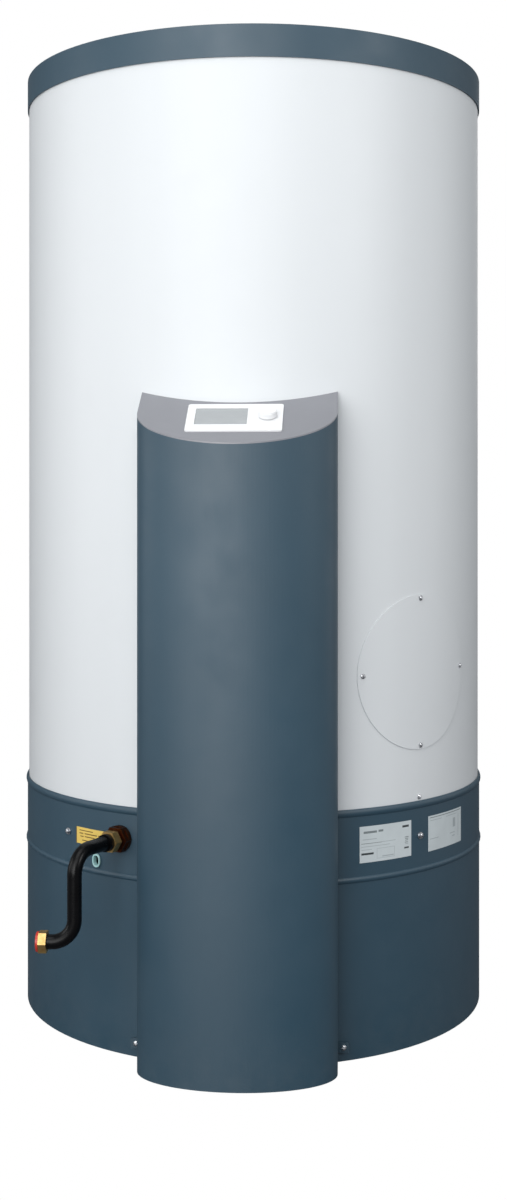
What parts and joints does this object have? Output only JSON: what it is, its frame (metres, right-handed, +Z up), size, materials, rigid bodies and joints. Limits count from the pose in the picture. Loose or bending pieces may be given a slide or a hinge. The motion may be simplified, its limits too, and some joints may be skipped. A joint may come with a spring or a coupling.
{
  "type": "tank water heater",
  "caption": "Free-standing gas storage water heater: round white insulated tank on a dark base, with a half-oval burner cover, sloping control console, inspection hatch and gas pipe.",
  "frame": {"origin": "where the tank's axis meets the floor", "axes": "+Z up along the tank axis; -Y to the front, where the burner cover and console are; +X to the right seen from the front"},
  "size_m": [0.7974, 0.948, 1.585],
  "materials": {
    "black_plastic": "matt",
    "black_steel": "semi-gloss black paint",
    "board": "matt",
    "brass": "machined",
    "cast_alloy": "die cast",
    "ceramic": "glazed",
    "clear_window": "gloss",
    "console_paint": "satin powder coat",
    "dark_brass": "tarnished",
    "dark_paint": "satin powder coat",
    "display": "gloss",
    "foam": "cut foam",
    "galvanised": "galvanised",
    "grey_plastic": "matt",
    "label_paper": "matt film",
    "magnesium": "dull",
    "pale_rubber": "matt",
    "red_plastic": "gloss",
    "rubber": "matt",
    "stainless": "brushed",
    "tank_steel": "matt primer",
    "white_paint": "satin coat",
    "white_plastic": "fine satin",
    "yellow_label": "matt film",
    "zinc_steel": "zinc plated"
  },
  "bodies": {
    "appliance": {"base_plate": "galvanised", "support_frame": "tank_steel", "base_shell": "dark_paint", "base_screws": "zinc_steel", "tank_vessel": "tank_steel", "combustion_chamber": "tank_steel", "smoke_coil": "tank_steel", "flue_collector": "stainless", "flue_outlet": "stainless", "condensate_pipe": "grey_plastic", "condensate_siphon": "grey_plastic", "drain_pipe": "brass", "drain_valve": "brass", "anode_rod": "magnesium", "sensor_pocket": "brass", "cold_inlet": "zinc_steel", "hot_outlet": "zinc_steel", "insulation_left": "foam", "insulation_right": "foam", "top_insulation": "foam", "jacket": "white_paint", "jacket_seam": "white_paint", "jacket_screws": "zinc_steel", "inspection_gasket": "rubber", "inspection_flange": "tank_steel", "inspection_bolts": "zinc_steel", "burner_gasket": "rubber", "burner_door": "cast_alloy", "burner_bolts": "zinc_steel", "burner_tube": "stainless", "igniter": "ceramic", "fan_housing": "cast_alloy", "fan_motor": "black_plastic", "mixing_tube": "stainless", "gas_valve": "cast_alloy", "gas_inner_pipe": "brass", "gas_bulkhead": "dark_brass", "gas_union_nut": "brass", "gas_pipe": "black_steel", "rating_labels": "label_paper", "gas_label": "yellow_label", "cable_grommet": "pale_rubber"},
    "front_cover": {"front_cover": "dark_paint", "cover_screws": "zinc_steel", "console_panel": "console_paint", "control_bezel": "white_plastic", "display_window": "clear_window", "display_module": "display", "control_box": "black_plastic", "circuit_board": "board"},
    "lid": {"lid": "dark_paint"},
    "hatch": {"hatch_cover": "white_paint", "hatch_plug": "foam", "hatch_screws": "zinc_steel"},
    "impeller": {"fan_impeller": "stainless"},
    "drain_lever": {"drain_lever": "red_plastic"},
    "dial_shaft": {"encoder_shaft": "stainless"},
    "knob": {"control_knob": "white_plastic"},
    "end_nut": {"gas_end_nut": "brass"},
    "end_cap": {"gas_cap": "red_plastic"}
  },
  "joints": [
    {"name": "cover_pull", "type": "slide", "parent": "appliance", "child": "front_cover", "axis": [0, -1, 0], "range_m": [0, 0.25]},
    {"name": "lid_lift", "type": "slide", "parent": "appliance", "child": "lid", "axis": [0, 0, 1], "range_m": [0, 0.2]},
    {"name": "hatch_pull", "type": "slide", "parent": "appliance", "child": "hatch", "axis": [0.7108, -0.7034, 0], "range_m": [0, 0.25]},
    {"name": "impeller_spin", "type": "hinge", "parent": "appliance", "child": "impeller", "pos_m": [0, -0.415, 0.7075], "axis": [1, 0, 0], "continuous": true},
    {"name": "drain_lever_turn", "type": "hinge", "parent": "appliance", "child": "drain_lever", "pos_m": [0, -0.36, 0.32], "axis": [0, 0, 1], "range_deg": [-90, 0]},
    {"name": "knob_turn", "type": "hinge", "parent": "front_cover", "child": "dial_shaft", "pos_m": [0.047, -0.436, 0.98466], "axis": [0, -0.515, 0.8572], "continuous": true},
    {"name": "knob_push", "type": "slide", "parent": "dial_shaft", "child": "knob", "axis": [0, 0.515, -0.8572], "range_m": [0, 0.0015], "stiffness_N_per_m": 800},
    {"name": "end_nut_spin", "type": "hinge", "parent": "appliance", "child": "end_nut", "pos_m": [-0.28184, -0.45295, 0.202], "axis": [-1, 0, 0], "continuous": true},
    {"name": "end_cap_pull", "type": "slide", "parent": "end_nut", "child": "end_cap", "axis": [-1, 0, 0], "range_m": [0, 0.03]}
  ]
}
